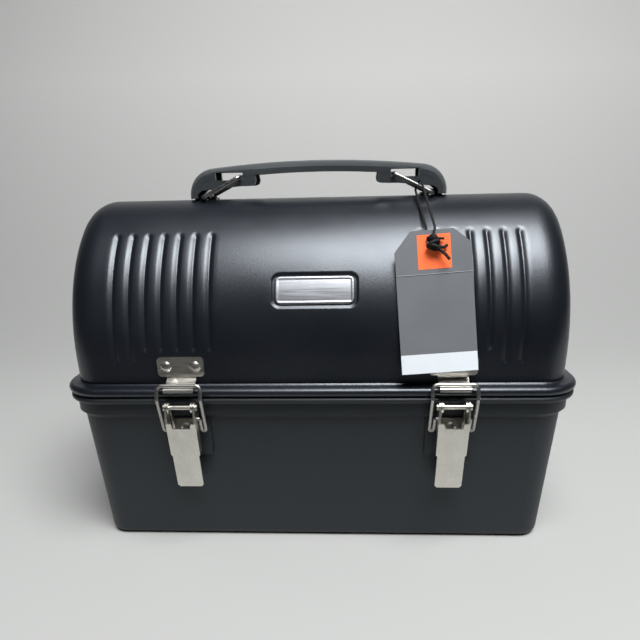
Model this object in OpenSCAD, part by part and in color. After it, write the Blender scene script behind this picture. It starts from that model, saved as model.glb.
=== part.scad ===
// Steel lunch box with a domed lid, two draw latches, a drop handle on wire links and two rear hinges.
// +X is the viewer's right when the latches face the viewer, +Y points to the hinges, +Z is up.
// The origin is the middle of the underside of the body.

/* [Box] */
// Overall length over the lid bead
box_w = 335; // [300:1:380]
// Overall depth over the lid bead
box_d = 165; // [155:1:190]
// Corner radius of the lid bead, seen from above
corner_r = 27; // [24:0.5:32]
// Thickness of the sheet steel
sheet_t = 0.8; // [0.6:0.1:1.2]
// How far the walls stand in from the outside of the bead
wall_inset = 7.5; // [6.5:0.5:9]

/* [Body] */
// Height of the shoulder where the collar starts
shoulder_z = 97; // [85:1:110]
// How far each wall leans in from the shoulder to the bottom
body_draft = 5.3; // [2:0.1:7]
// Radius of the bottom edge
bottom_r = 6; // [4:0.5:8]
// How far the collar under the rim stands in from the bead
collar_inset = 4.2; // [3.5:0.1:5]
// Height of the collar
collar_h = 10; // [8:0.5:14]
// Radius of the rolled rim of the body
rim_r = 2.2; // [1.8:0.1:2.6]
// Width of the flat pads behind the latches and hinges
pad_w = 31.4; // [26:0.2:36]
// Height of the flat pads
pad_h = 27; // [24:1:34]
// How far the pads stand proud at the shoulder
pad_proud = 1.2; // [0.8:0.1:2]

/* [Lid] */
// Gap between the lid bead and the body rim
lid_gap = 0.4; // [0.3:0.1:0.8]
// Radius of the lid bead
bead_r = 3; // [2.5:0.1:3.5]
// Straight height of the lid wall above the bead
lid_wall_h = 16.5; // [14:0.5:24]
// Rise of the arch above the straight wall
arch_h = 95; // [80:1:100]
// Radius of the crown of the arch
crown_r = 55; // [50:1:68]

/* [Grooves] */
// Number of grooves at each end of the front and the back
groove_n = 7; // [3:1:8]
// Distance between neighbouring grooves
groove_pitch = 10; // [9:0.1:12]
// Distance from the middle of the box to the first groove
groove_x = 65; // [60:1:70]
// Depth of a groove
groove_depth = 0.55; // [0.3:0.05:0.6]
// Width of a groove at the surface
groove_w = 7; // [5:0.1:8]
// Angle of the lower ends of the short grooves above the spring of the arch
groove_foot = 4.35; // [3:0.05:12]
// Angle of the upper ends of the grooves above the spring of the arch
groove_top = 46.5; // [35:0.5:50]

/* [Name plate] */
// Width of the plate
plate_w = 49; // [40:1:60]
// Height of the plate
plate_h = 17.6; // [14:0.2:22]
// Thickness of the plate
plate_t = 0.9; // [0.6:0.1:1.2]
// Margin of the recess round the plate
plate_margin = 2.2; // [1.5:0.1:4]
// Angle of the plate's middle above the spring of the arch
plate_angle = 23.4; // [20:0.2:28]

/* [Latches] */
// Distance of each latch from the middle
latch_x = 85.6; // [70:0.2:100]
// Thickness of the latch parts
latch_t = 1.2; // [1:0.1:1.5]
// Width of a strike plate
strike_w = 29.7; // [27:0.1:34]
// Height of the riveted part of a strike plate
strike_h = 12.7; // [11:0.1:15]
// Width of the neck of a strike plate
neck_w = 18.7; // [16:0.1:22]
// Width of a lever
lever_w = 19.2; // [18:0.1:22]
// Length of a lever below its pin
lever_l = 59; // [50:1:66]
// Diameter of the lever pins and hinge pins
pin_d = 3; // [2.5:0.1:3.4]
// Diameter of the bail wire
bail_d = 2.3; // [2:0.1:2.4]

/* [Handle] */
// Length of the grip
grip_l = 177.2; // [165:0.2:190]
// Width of the grip
grip_w = 22.6; // [20:0.2:24]
// Radius of the arch of the grip
grip_r = 680; // [500:10:900]
// Height of the grip's top above the lid
grip_top = 24.2; // [23.6:0.1:26]
// Depth of the grip's side walls
grip_depth = 7.3; // [6.5:0.1:8]
// Diameter of the link wire
link_d = 2.6; // [2.2:0.1:2.8]
// Distance from the end of the grip to the lower bar of each link
foot_inset = 11.1; // [9.6:0.1:12.6]
// Distance from the end of the grip to the upper bar of each link, handle down
head_inset = 37.1; // [34.6:0.1:38.6]
// Travel of the handle
lift = 14; // [10:0.5:14]

/* [Bottle wire] */
// Diameter of the bottle wire
bottle_d = 3; // [2.5:0.1:3.5]
// Half the width of the bottle wire
bottle_x = 38; // [30:1:60]

/* [Tag] */
// Width of the tag
tag_w = 46; // [40:1:55]
// Height of the tag
tag_h = 86; // [70:1:90]
// Thickness of the tag
tag_t = 1; // [0.6:0.1:1.5]

/* [Hidden] */

$fn = 48;
eps = 0.01;
big = 400;

// Rounded-rectangle frame shared by the body and the lid.
half_x = box_w / 2;
half_y = box_d / 2;
core_x = half_x - corner_r;
core_y = half_y - corner_r;
wall_y = half_y - wall_inset;
wall_r = corner_r - wall_inset;

// Heights, from the bottom up.
collar_z = shoulder_z + collar_h;
rim_z = collar_z + 1.9;
bead_z = rim_z + rim_r + lid_gap + bead_r;
lid_z = bead_z + bead_r;
spring_z = lid_z + lid_wall_h;
lid_top = spring_z + arch_h;

// Arch of the lid: a crown arc between two flank arcs.
flank_r = (pow(wall_y, 2) + pow(arch_h - crown_r, 2) - pow(crown_r, 2)) / (2 * (wall_y - crown_r));
flank_y = flank_r - wall_y;
crown_z = lid_top - crown_r;
blend_a = atan2(crown_z - spring_z, flank_y);
groove_r = (pow(groove_w / 2, 2) + pow(groove_depth, 2)) / (2 * groove_depth);
groove_run = flank_r - groove_depth + groove_r;

// Draw latch, in a plane across X.
pin_r = pin_d / 2;
bail_r = bail_d / 2;
pad_y = wall_y + pad_proud;
shelf_z = lid_z + 1.95;
bar = [-(half_y + 2.1), shelf_z + 0.35 + bail_r];
lever_pin = [-(half_y + 2.5), bar[1] - 14.5];
bail_pin = [bar[0] - 0.28 * 9 + 0.28 * 15.2, bar[1] - 0.96 * 24.2];
lever_tilt = 8.5;
lever_eye_r = 3.4;
run_gap = 0.05;
move_gap = 0.35;
ear_x = lever_w / 2 - latch_t - move_gap;
rivet_r = 2;
rivet_head_r = 3.75;

// Rear hinges.
hinge_pin = [half_y + 4, bead_z - 2.5];
barrel_r = pin_r + 1.5;
leaf_w = 30;
knuckle_w = 13.4;

// Handle and its links.
link_r = link_d / 2;
link_y = grip_w / 2 + link_r + 2.4;
foot = [grip_l / 2 - foot_inset, lid_top + 0.3 + link_r];
head = [grip_l / 2 - head_inset, foot[1] + 12.7];
grip_z = lid_top + grip_top;
grip_end_r = 18;
grip_wall = 2.4;
grip_web = 3.2;
crown_drop = 4;
grip_crown_r = (pow(grip_w / 2, 2) + pow(crown_drop, 2)) / (2 * crown_drop);
crown_step = asin(grip_w / 2 / grip_crown_r) / 4;
grip_a = asin((grip_l / 2 - grip_end_r) / (grip_r - grip_end_r));
grip_end = [(grip_r - grip_end_r) * sin(grip_a), grip_z - grip_r + (grip_r - grip_end_r) * cos(grip_a)];
slot_h = 5;
slot_z = head[1] + 0.6;

// Bottle wire, in a plane across X.
bottle_r = bottle_d / 2;
bottle_bar = [wall_y - sheet_t - 7.5, spring_z - 9.2];

// Tag and its cord.
cord_d = 1.5;
cord_bend = 3.8;
cord_gap = 0.5;
tag_foot = [-(wall_y + 6.8), lid_z + 10.4];
tag_lean = 16;
tag_spin = 3.6;
tag_x = foot[0] - 1.3;

// Geometry helpers -----------------------------------------------------------

function unit(v) = v / norm(v);
function fine(v) = round(v * 1000) / 1000;
function arc_points(c, r, a0, a1, n) =
    [for (i = [0 : n]) [fine(c[0] + r * cos(a0 + (a1 - a0) * i / n)), fine(c[1] + r * sin(a0 + (a1 - a0) * i / n))]];

// Places its child in a frame given by an origin and its X and Y directions.
module frame(o, x, y) {
    z = cross(x, y);
    multmatrix([[x[0], y[0], z[0], o[0]], [x[1], y[1], z[1], o[1]], [x[2], y[2], z[2], o[2]], [0, 0, 0, 1]])
        children();
}

// A round rod between two points.
module rod(a, b, r) {
    d = unit(b - a);
    side = unit(cross(d, abs(d[2]) < 0.9 ? [0, 0, 1] : [1, 0, 0]));
    frame(a, side, cross(d, side)) cylinder(h = norm(b - a), r = r);
}

function bend_turn(p, i) = acos(unit(p[i] - p[i - 1]) * unit(p[i + 1] - p[i]));
function bend_cut(p, b, i) = b[i] * tan(bend_turn(p, i) / 2);

// One bend of a wire, a piece of a torus.
module bend(p, b, i, r) {
    din = unit(p[i] - p[i - 1]);
    dout = unit(p[i + 1] - p[i]);
    inward = unit(dout - (dout * din) * din);
    frame(p[i] - din * bend_cut(p, b, i) + inward * b[i], -inward, din)
        rotate_extrude(angle = bend_turn(p, i)) translate([b[i], 0]) circle(r = r);
}

// A bent wire through points p, with bend radius b[i] at point i.
module wire(p, b, r) {
    last = len(p) - 1;
    for (i = [0 : last - 1]) {
        d = unit(p[i + 1] - p[i]);
        rod(p[i] + (i == 0 ? [0, 0, 0] : d * bend_cut(p, b, i)),
            p[i + 1] - (i + 1 == last ? [0, 0, 0] : d * bend_cut(p, b, i + 1)), r);
    }
    for (i = [1 : last - 1]) bend(p, b, i, r);
}

// Sweeps a section (x outward from the bead line, y up) round the box.
module sweep_round() {
    for (sx = [0, 1], sy = [0, 1]) mirror([sx, 0, 0]) mirror([0, sy, 0])
        translate([core_x, core_y, 0]) rotate_extrude(angle = 90) translate([corner_r, 0]) children();
    for (sy = [0, 1]) mirror([0, sy, 0]) translate([-core_x, half_y, 0])
        rotate([90, 0, 90]) linear_extrude(2 * core_x) children();
    for (sx = [0, 1]) mirror([sx, 0, 0]) translate([half_x, core_y, 0])
        rotate([90, 0, 0]) linear_extrude(2 * core_y) children();
}

// A flat plate with rounded corners in the XZ plane, its back on y = 0.
module plate_xz(w, h, t, r) {
    rotate([90, 0, 0]) linear_extrude(t) union() {
        square([w - 2 * r, h], center = true);
        square([w, h - 2 * r], center = true);
        for (sx = [-1, 1], sz = [-1, 1]) translate([sx * (w / 2 - r), sz * (h / 2 - r)]) circle(r = r);
    }
}

// Extrudes a section drawn in (y, z) across X, centred.
module across_x(w) {
    translate([-w / 2, 0, 0]) rotate([90, 0, 90]) linear_extrude(w) children();
}

// A rivet along -Y: domed head outside y0, shank, flat head inside y1.
module rivet(y0, y1, head_h = 1.4) {
    rotate([90, 0, 0]) {
        translate([0, 0, -y0]) intersection() {
            cylinder(h = head_h, r = rivet_head_r);
            translate([0, 0, head_h - 5.7]) sphere(r = 5.7);
        }
        translate([0, 0, -y1]) cylinder(h = y1 - y0, r = rivet_r);
        translate([0, 0, -y1 - 0.8]) cylinder(h = 0.8, r = 3);
    }
}

module rivet_hole(y0, y1) {
    rotate([90, 0, 0]) translate([0, 0, -y1]) cylinder(h = y1 - y0, r = rivet_r);
}

// Body -----------------------------------------------------------------------

function body_line(g) = concat(
    [[-corner_r, g]],
    arc_points([-wall_inset - body_draft - bottom_r, bottom_r], bottom_r - g, -90, 0, 8),
    [[-wall_inset - g, shoulder_z - 2], [-collar_inset - g, shoulder_z + 1.5], [-collar_inset - g, rim_z - 0.5]]);

module body_section() {
    outer = body_line(0);
    inner = body_line(sheet_t);
    polygon(concat(outer, [for (i = [len(inner) - 1 : -1 : 0]) inner[i]]));
    translate([-collar_inset - sheet_t + rim_r - 0.1, rim_z]) circle(r = rim_r);
}

base_rivets = [for (s = [-1, 1]) [s * latch_x, shoulder_z - 8]];
base_rivets_low = [for (s = [-1, 1]) [s * latch_x, shoulder_z - 19]];
hinge_rivets = [for (s = [-1, 1], k = [-1, 1]) [s * latch_x + k * 9, shoulder_z - 14]];

module pads(grow, y_out) {
    for (s = [-1, 1], m = [0, 1]) mirror([0, m, 0]) translate([s * latch_x, -y_out, shoulder_z - 1 - pad_h / 2])
        rotate([90, 0, 0]) translate([0, 0, -pad_depth]) linear_extrude(pad_depth)
            square([pad_w - 2 * grow, pad_h - 2 * grow], center = true);
}
pad_depth = 4;

module body_shell() {
    color("#2b2e31") difference() {
        union() {
            sweep_round() body_section();
            translate([-core_x, -core_y, 0]) cube([2 * core_x, 2 * core_y, sheet_t]);
            pads(0, pad_y);
        }
        pads(sheet_t, pad_y - sheet_t);
        for (p = concat(base_rivets, base_rivets_low)) translate([p[0], 0, p[1]]) rivet_hole(-pad_y - 1, -pad_y + 3);
        for (p = hinge_rivets) translate([p[0], 0, p[1]]) rivet_hole(pad_y - 3, pad_y + 1);
    }
}

// Lid ------------------------------------------------------------------------

// Corner points of a rounded end, in short chords.
fillet_n = 8;
function end_line(r, x, e, s) =
    [for (i = [0 : fillet_n]) let (a = 90 * (s > 0 ? fillet_n - i : i) / fillet_n)
        [fine(r - e + e * sin(a)), s * fine(x - e + e * cos(a))]];

function backward(v) = [for (i = [len(v) - 1 : -1 : 0]) v[i]];
function end_lines(r, inset) = let (e = wall_r - inset, x = half_x - wall_inset - inset)
    concat(end_line(r - inset, x, e, -1), end_line(r - inset, x, e, 1));

// Section along X of the sheet over one arc of radius r, with its end walls, drawn as (radius, x).
module arc_section(r) {
    x = half_x - wall_inset;
    polygon(concat([[0, -x]], end_lines(r, 0), [[0, x], [0, x - sheet_t]],
        backward(end_lines(r, sheet_t)), [[0, -x + sheet_t]]));
}

// Turns a section about an axis along X at (y, z), from angle a0 to a1 in the YZ plane.
module turn_about_x(y, z, a0, a1) {
    translate([0, y, z]) rotate([90, 0, 90]) rotate([0, 0, a0]) rotate_extrude(angle = a1 - a0, $fn = 72) children();
}

module wall_outline(inset) {
    l = end_lines(wall_y, inset);
    polygon(concat([for (p = l) [p[1], p[0]]], [for (p = l) [-p[1], -p[0]]]));
}

// The sheet over one arc, kept inside a region of the YZ plane.
module arc_piece(y, z, r, region) {
    intersection() {
        translate([0, y, z]) rotate([90, 0, 90]) rotate_extrude($fn = 96) arc_section(r);
        across_x(box_w) polygon(region);
    }
}

module arch_shell() {
    rise = crown_z - spring_z;
    far = [fine(-3 * flank_y), fine(spring_z + 4 * rise)];
    for (m = [0, 1]) mirror([0, m, 0]) arc_piece(flank_y, spring_z, flank_r,
        [[flank_y, spring_z], far, [-2 * box_d, far[1]], [-2 * box_d, spring_z]]);
    arc_piece(0, crown_z, crown_r, [[0, crown_z], [-far[0], far[1]], far]);
    translate([0, 0, lid_z - 0.5]) linear_extrude(spring_z - lid_z + 0.5) difference() {
        wall_outline(0);
        wall_outline(sheet_t);
    }
}

// Half a ball on its flat side, pointing along +Z.
module half_ball(r) {
    rotate_extrude() intersection() {
        circle(r = r);
        square([r + 1, r + 1]);
    }
}

// Tool for one groove on the front flank between two angles, with half-ball ends.
module groove(x, a_low, r) {
    turn_about_x(flank_y, spring_z, 180 - groove_top, 180 - a_low) translate([groove_run, x]) circle(r = r);
    translate([x, flank_y - groove_run * cos(a_low), spring_z + groove_run * sin(a_low)])
        rotate([180 - a_low, 0, 0]) half_ball(r);
    translate([x, flank_y - groove_run * cos(groove_top), spring_z + groove_run * sin(groove_top)])
        rotate([-groove_top, 0, 0]) half_ball(r);
}

module grooves() {
    for (m = [0, 1], s = [0, 1]) mirror([0, m, 0]) mirror([s, 0, 0]) for (i = [0 : groove_n - 1])
        groove(groove_x + i * groove_pitch, i >= groove_n - 2 ? 0 : groove_foot, groove_r);
}

// Places its child on the front flank, +Z outward and +Y up the flank.
module on_flank(a) {
    translate([0, flank_y - flank_r * cos(a), spring_z + flank_r * sin(a)])
        rotate([90 - a, 0, 0]) children();
}

module rounded_slab(w, h, t, r) {
    linear_extrude(t) union() {
        square([w - 2 * r, h], center = true);
        square([w, h - 2 * r], center = true);
        for (sx = [-1, 1], sy = [-1, 1]) translate([sx * (w / 2 - r), sy * (h / 2 - r)]) circle(r = r);
    }
}

recess_depth = 0.5;
module plate_recess(grow) {
    on_flank(plate_angle) translate([0, 0, -recess_depth - grow])
        rounded_slab(plate_w + 2 * (plate_margin + grow), plate_h + 2 * (plate_margin + grow), 6, 5 + grow);
}

strike_rivet_dx = 9.3;
strike_z = lid_z + 12.9;
strike_rivet_at = [for (s = [-1, 1], k = [-1, 1]) [s * latch_x + k * strike_rivet_dx, strike_z]];
lid_hinge_rivet_at = [for (s = [-1, 1], k = [-1, 1]) [s * latch_x + k * 9, strike_z + 0.5]];
bracket_rivet_dx = 5;
bracket_rivet_at = [for (s = [-1, 1], k = [-1, 1]) [s * (foot[0] + k * bracket_rivet_dx), 0]];
clip_x = [-20, 20];
clip_rivet_at = [for (x = clip_x) [x, bottle_bar[1] + 5.4]];

module bead_section() {
    translate([-bead_r, bead_z]) circle(r = bead_r);
    polygon([[-wall_inset - 0.4, lid_z + 0.8], [-wall_inset - 0.4, lid_z - 0.8],
        [-bead_r, lid_z - 0.8], [-bead_r, lid_z], [-wall_inset + 0.6, lid_z]]);
}

module lid_shell() {
    color("#1d2024") difference() {
        union() {
            arch_shell();
            sweep_round() bead_section();
        }
        grooves();
        plate_recess(0);
        for (p = strike_rivet_at) translate([p[0], 0, p[1]]) rivet_hole(-wall_y - 2, -wall_y + 3);
        for (p = concat(lid_hinge_rivet_at, clip_rivet_at)) translate([p[0], 0, p[1]]) rivet_hole(wall_y - 3, wall_y + 2);
        for (p = bracket_rivet_at) translate([p[0], p[1], lid_top - 3]) cylinder(h = 6, r = 1.5);
    }
}

module name_plate() {
    color("#c9c9c6") on_flank(plate_angle) translate([0, 0, -recess_depth]) union() {
        rounded_slab(plate_w, plate_h, plate_t, 4);
        difference() {
            rounded_slab(plate_w - 1, plate_h - 1, plate_t + 0.25, 3.5);
            translate([0, 0, plate_t / 2]) rounded_slab(plate_w - 2.4, plate_h - 2.4, plate_t, 2.8);
        }
    }
}

// Latches --------------------------------------------------------------------

module strike_plate() {
    t = latch_t;
    color("#8f8d88") union() {
        difference() {
            translate([0, -wall_y, strike_z]) plate_xz(strike_w, strike_h, t, 2.5);
            for (k = [-1, 1]) translate([k * strike_rivet_dx, 0, strike_z]) rivet_hole(-wall_y - 3, -wall_y + 1);
        }
        across_x(neck_w) polygon([
            [-wall_y, strike_z - strike_h / 2 + 3], [-wall_y - t, strike_z - strike_h / 2 + 3],
            [-wall_y - t, shelf_z + 3.4], [bar[0] + 2.6, shelf_z], [bar[0] - 1.9, shelf_z],
            [bar[0] - 2.3, shelf_z - 0.4], [bar[0] - 2.3, shelf_z - 2.6], [bar[0] - 1.2, shelf_z - 2.6],
            [bar[0] - 1.2, shelf_z - t], [bar[0] + 2.9, shelf_z - t], [-wall_y, shelf_z + 2.4]]);
    }
}

module latch_base() {
    t = latch_t;
    color("#a9a7a1") union() {
        difference() {
            translate([0, -pad_y, shoulder_z - 14]) plate_xz(2 * ear_x, 25, t, 1.5);
            for (z = [shoulder_z - 8, shoulder_z - 19]) translate([0, 0, z]) rivet_hole(-pad_y - 3, -pad_y + 1);
        }
        for (s = [-1, 1]) translate([s * (ear_x - t / 2), 0, 0]) across_x(t) difference() {
            union() {
                translate(lever_pin) circle(r = 3.4);
                polygon([[-pad_y - t / 2, shoulder_z - 3], [-pad_y - t / 2, shoulder_z - 14],
                    [lever_pin[0] + 1.2, lever_pin[1] - 3.2], [lever_pin[0] - 3.2, lever_pin[1] - 1],
                    [lever_pin[0] + 1, lever_pin[1] + 3.2], [-half_y + 2, shoulder_z + 1.5]]);
            }
            translate(lever_pin) circle(r = pin_r);
        }
    }
}

module latch_pin() {
    l = lever_w / 2 + 0.4;
    color("#d2d0cb") translate([0, lever_pin[0], lever_pin[1]]) rotate([0, 90, 0]) union() {
        translate([0, 0, -l]) cylinder(h = 2 * l, r = pin_r);
        for (s = [0, 1]) mirror([0, 0, s]) translate([0, 0, l]) cylinder(h = 0.8, r = pin_r + 0.6);
    }
}

// The lever is drawn upright with its pin at the origin, then tilted.
module lever() {
    t = latch_t;
    w = lever_w / 2;
    d = bail_pin - lever_pin;
    b = [d[0] * cos(lever_tilt) + d[1] * sin(lever_tilt), -d[0] * sin(lever_tilt) + d[1] * cos(lever_tilt)];
    front = -5.2;
    color("#b9b7ae") translate([0, lever_pin[0], lever_pin[1]]) rotate([lever_tilt, 0, 0]) union() {
        for (s = [-1, 1]) translate([s * (w - t / 2), 0, 0]) across_x(t) difference() {
            union() {
                circle(r = lever_eye_r);
                translate(b) circle(r = 3.2);
                polygon([[-lever_eye_r, 0], [lever_eye_r, 0], [b[0] + 3.2, b[1]], [b[0], b[1] - 3.2],
                    [front + t, -33], [front, -33], [front, -9.4]]);
            }
            circle(r = pin_r + run_gap);
            translate(b) circle(r = bail_r + run_gap);
        }
        translate([0, front + t, 0]) rotate([90, 0, 0]) linear_extrude(t) polygon([
            [-w, -9.4], [-6.3, -9.4], [-5.6, -13], [5.6, -13], [6.3, -9.4], [w, -9.4], [w, -33],
            [w - 0.9, -34], [w - 0.9, -lever_l + 1.5], [w - 2.4, -lever_l], [-w + 2.4, -lever_l],
            [-w + 0.9, -lever_l + 1.5], [-w + 0.9, -34], [-w, -33]]);
    }
}

// Bent wire in two flat halves that meet in a kink, leaning 7:24 either way.
module bail() {
    x = fine(lever_w / 2 + move_gap + bail_r);
    turn = bail_r + 0.15;
    out = x + 2 * turn + 0.1;
    up = 9;
    down = 25;
    tail = 9.8;
    inner = lever_w / 2 - latch_t + 0.05;
    kink = [bar[0] - 0.28 * up, bar[1] - 0.96 * up];
    color("#c4c1b8") for (s = [0, 1]) mirror([s, 0, 0]) {
        frame([0, bar[0], bar[1]], [1, 0, 0], [0, -0.28, -0.96])
            wire([[0, 0, 0], [out, 0, 0], [out, up + 0.25, 0]], [0, 3, 0], bail_r);
        frame([0, kink[0], kink[1]], [1, 0, 0], [0, 0.28, -0.96]) wire([
            [out, -0.25, 0], [out, down, 0], [x, down, 0], [x, down - tail, 0], [inner, down - tail, 0]],
            [0, turn, turn, bail_r + 0.05, 0], bail_r);
    }
}

module front_rivets(at, y_out, y_in) {
    for (p = at) translate([p[0], 0, p[1]]) rivet(-y_out, -y_in);
}

module rear_rivets(at, y_out, y_in, head_h = 1.4) {
    for (p = at) translate([p[0], 0, p[1]]) mirror([0, 1, 0]) rivet(-y_out, -y_in, head_h);
}

module latch_base_rivets() { color("#8f8d88") front_rivets(concat(base_rivets, base_rivets_low), pad_y + latch_t, pad_y - sheet_t); }
module strike_rivets() { color("#8f8d88") front_rivets(strike_rivet_at, wall_y + latch_t, wall_y - sheet_t); }
module hinge_body_rivets() { color("#26292c") rear_rivets(hinge_rivets, pad_y + latch_t, pad_y - sheet_t); }
module hinge_lid_rivets() { color("#26292c") rear_rivets(lid_hinge_rivet_at, wall_y + latch_t, wall_y - sheet_t); }
module clip_rivets() { color("#26292c") rear_rivets(clip_rivet_at, wall_y, wall_y - sheet_t - 1.3); }

// Rear hinges ----------------------------------------------------------------

module hinge_strip(points, w) {
    across_x(w) polygon(points);
}

module barrel(x0, x1, bore) {
    translate([x0, hinge_pin[0], hinge_pin[1]]) rotate([0, 90, 0]) difference() {
        cylinder(h = x1 - x0, r = barrel_r);
        translate([0, 0, -1]) cylinder(h = x1 - x0 + 2, r = bore);
    }
}

module hinge_lid_leaf() {
    t = latch_t;
    y = hinge_pin[0];
    color("#26292c") difference() {
        union() {
            translate([0, wall_y + t, strike_z + 0.5]) plate_xz(leaf_w, 14, t, 2.5);
            across_x(knuckle_w) polygon([
                [wall_y, lid_z + 9], [wall_y + t, lid_z + 9], [wall_y + t, lid_z + 6.2],
                [y + 0.4, lid_z + 2.6], [y + t, lid_z + 1.8], [y + t, hinge_pin[1]], [y, hinge_pin[1]],
                [y, lid_z + 1], [y - 0.6, lid_z + 1.3], [wall_y, lid_z + 5]]);
            barrel(-knuckle_w / 2, knuckle_w / 2, pin_r);
        }
        translate([-knuckle_w, hinge_pin[0], hinge_pin[1]]) rotate([0, 90, 0])
            cylinder(h = 2 * knuckle_w, r = pin_r + run_gap);
        for (k = [-9, 9]) translate([k, 0, strike_z + 0.5]) rivet_hole(wall_y - 1, wall_y + 3);
    }
}

module hinge_body_leaf() {
    t = latch_t;
    y = hinge_pin[0];
    k0 = knuckle_w / 2 + move_gap;
    color("#26292c") difference() {
        union() {
            translate([0, pad_y + t, shoulder_z - 13]) plate_xz(leaf_w, 20, t, 2.5);
            for (s = [0, 1]) mirror([s, 0, 0]) {
                translate([(k0 + leaf_w / 2) / 2, 0, 0]) across_x(leaf_w / 2 - k0) polygon([
                    [pad_y, shoulder_z - 7], [pad_y + t, shoulder_z - 7], [y + t, shoulder_z + 3],
                    [y + t, hinge_pin[1]], [y, hinge_pin[1]], [y, shoulder_z + 3.5], [pad_y, shoulder_z - 5.2]]);
                barrel(k0, leaf_w / 2, pin_r);
            }
        }
        translate([-leaf_w, hinge_pin[0], hinge_pin[1]]) rotate([0, 90, 0]) cylinder(h = 2 * leaf_w, r = pin_r);
        for (k = [-9, 9]) translate([k, 0, shoulder_z - 14]) rivet_hole(pad_y - 1, pad_y + 3);
    }
}

module hinge_rod() {
    color("#9a9894") translate([0, hinge_pin[0], hinge_pin[1]]) rotate([0, 90, 0]) union() {
        translate([0, 0, -leaf_w / 2 - 0.2]) cylinder(h = leaf_w + 0.4, r = pin_r);
        for (s = [0, 1]) mirror([0, 0, s]) translate([0, 0, leaf_w / 2 + 0.2]) cylinder(h = 0.8, r = pin_r + 0.7);
    }
}

// Handle ---------------------------------------------------------------------

module grip_section(r) {
    translate([r, 0]) difference() {
        polygon(concat([[-grip_depth, -grip_w / 2]], [for (i = [-4 : 4])
            [grip_crown_r * (cos(i * crown_step) - 1), abs(i) == 4 ? i * grip_w / 8 : grip_crown_r * sin(i * crown_step)]],
            [[-grip_depth, grip_w / 2]]));
        translate([-grip_depth - 1, -grip_w / 2 + grip_wall])
            square([grip_depth + 1 - grip_web, grip_w - 2 * grip_wall]);
    }
}

// Turns a section about an axis along Y at (x, z), from angle a0 to a1 in the XZ plane.
module turn_about_y(x, z, a0, a1) {
    translate([x, 0, z]) rotate([90, 0, 0]) rotate([0, 0, a0]) rotate_extrude(angle = a1 - a0, $fn = 180) children();
}

module grip_cheek() {
    low = head[1] - 5.8;
    h = head[0];
    f = foot[0];
    polygon([[h - 9.5, grip_z - 5], [h - 10.7, low + 3.4], [h - 9.9, low + 1], [h - 7.5, low],
        [h + 4.5, low - 0.2], [f - 5.5, low - 1.8], [f + 1, low - 2.4], [f + 5.1, low - 5.6],
        [grip_end[0] + 14, grip_end[1] + 2], [grip_end[0] + 8, grip_end[1] + 12], [grip_end[0] - 2, grip_z - 6.5]]);
}

module handle_grip() {
    color("#1c1f22") difference() {
        union() {
            turn_about_y(0, grip_z - grip_r, 90 - grip_a, 90 + grip_a) grip_section(grip_r);
            for (s = [0, 1]) mirror([s, 0, 0]) {
                turn_about_y(grip_end[0], grip_end[1], -6, 90 - grip_a) grip_section(grip_end_r);
                for (m = [0, 1]) mirror([0, m, 0]) translate([0, grip_w / 2 - 0.1, 0])
                    rotate([90, 0, 0]) linear_extrude(grip_wall - 0.2) grip_cheek();
            }
        }
        for (s = [0, 1]) mirror([s, 0, 0]) translate([head[0] - link_r - 0.6, -grip_w, slot_z - slot_h / 2])
            cube([slot_run + 2 * link_r + 1.2, 2 * grip_w, slot_h]);
    }
}
link_l = norm(head - foot);
link_a = atan2(head[1] - foot[1], foot[0] - head[0]);
link_a_up = asin((head[1] - foot[1] + lift) / link_l);
slot_run = fine(foot[0] - link_l * cos(link_a_up) - head[0]);

// The right link; the left one is its mirror image.
module link() {
    l = fine(link_l);
    w = fine(link_y);
    color("#9b9994") translate([foot[0], 0, foot[1]]) rotate([0, link_a, 0]) wire([
        [0, 0, 0], [0, w, 0], [-l, w, 0], [-l, -w, 0], [0, -w, 0], [0, 0, 0]], [0, 2.5, 2.5, 2.5, 2.5, 0], link_r);
}

module handle_bracket() {
    r = link_r + 0.3;
    t = 1.1;
    color("#202326") difference() {
        rotate([90, 0, 0]) translate([0, 0, -6]) linear_extrude(12) difference() {
            union() {
                translate(foot) circle(r = r + t);
                translate([foot[0] - 7.4, lid_top - 0.6]) square([14.8, 0.6 + t]);
                translate([foot[0] - r - t, lid_top - 0.6]) square([2 * (r + t), foot[1] - lid_top + 0.6]);
            }
            translate(foot) circle(r = r);
            translate([foot[0] - r, lid_top - 1]) square([2 * r, foot[1] - lid_top + 1]);
        }
        translate([0, 0, crown_z]) rotate([0, 90, 0]) cylinder(h = big, r = crown_r, $fn = 180);
        for (k = [-1, 1]) translate([foot[0] + k * bracket_rivet_dx, 0, lid_top - 3]) cylinder(h = 8, r = 1.5);
    }
}

module bracket_rivets() {
    color("#202326") for (p = bracket_rivet_at) translate([p[0], p[1], lid_top]) union() {
        translate([0, 0, -sheet_t - 0.7]) cylinder(h = 0.6, r = 2.4);
        translate([0, 0, -sheet_t - 0.2]) cylinder(h = sheet_t + 1.4, r = 1.5);
        translate([0, 0, 1.1]) cylinder(h = 0.8, r = 2);
    }
}

// Bottle wire ----------------------------------------------------------------

module bottle_wire() {
    y = bottle_bar[0];
    z = bottle_bar[1];
    color("#b4b2ac") wire([[0, y, z], [bottle_x, y, z], [bottle_x, -y, z], [-bottle_x, -y, z], [-bottle_x, y, z], [0, y, z]],
        [0, 8, 8, 8, 8, 0], bottle_r);
}

module wire_clip() {
    y = bottle_bar[0];
    z = bottle_bar[1];
    wall = wall_y - sheet_t;
    color("#8f8d88") difference() {
        union() {
            translate([-4, y, z]) rotate([0, 90, 0]) cylinder(h = 8, r = bottle_r + 1.3);
            translate([-4, y, z]) cube([8, wall - y, 1.3]);
            translate([-4, wall - 1.3, z]) cube([8, 1.3, 9]);
        }
        translate([-5, y, z]) rotate([0, 90, 0]) cylinder(h = 10, r = bottle_r + run_gap);
        translate([0, 0, z + 5.4]) rivet_hole(wall - 3, wall + 1);
    }
}

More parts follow.
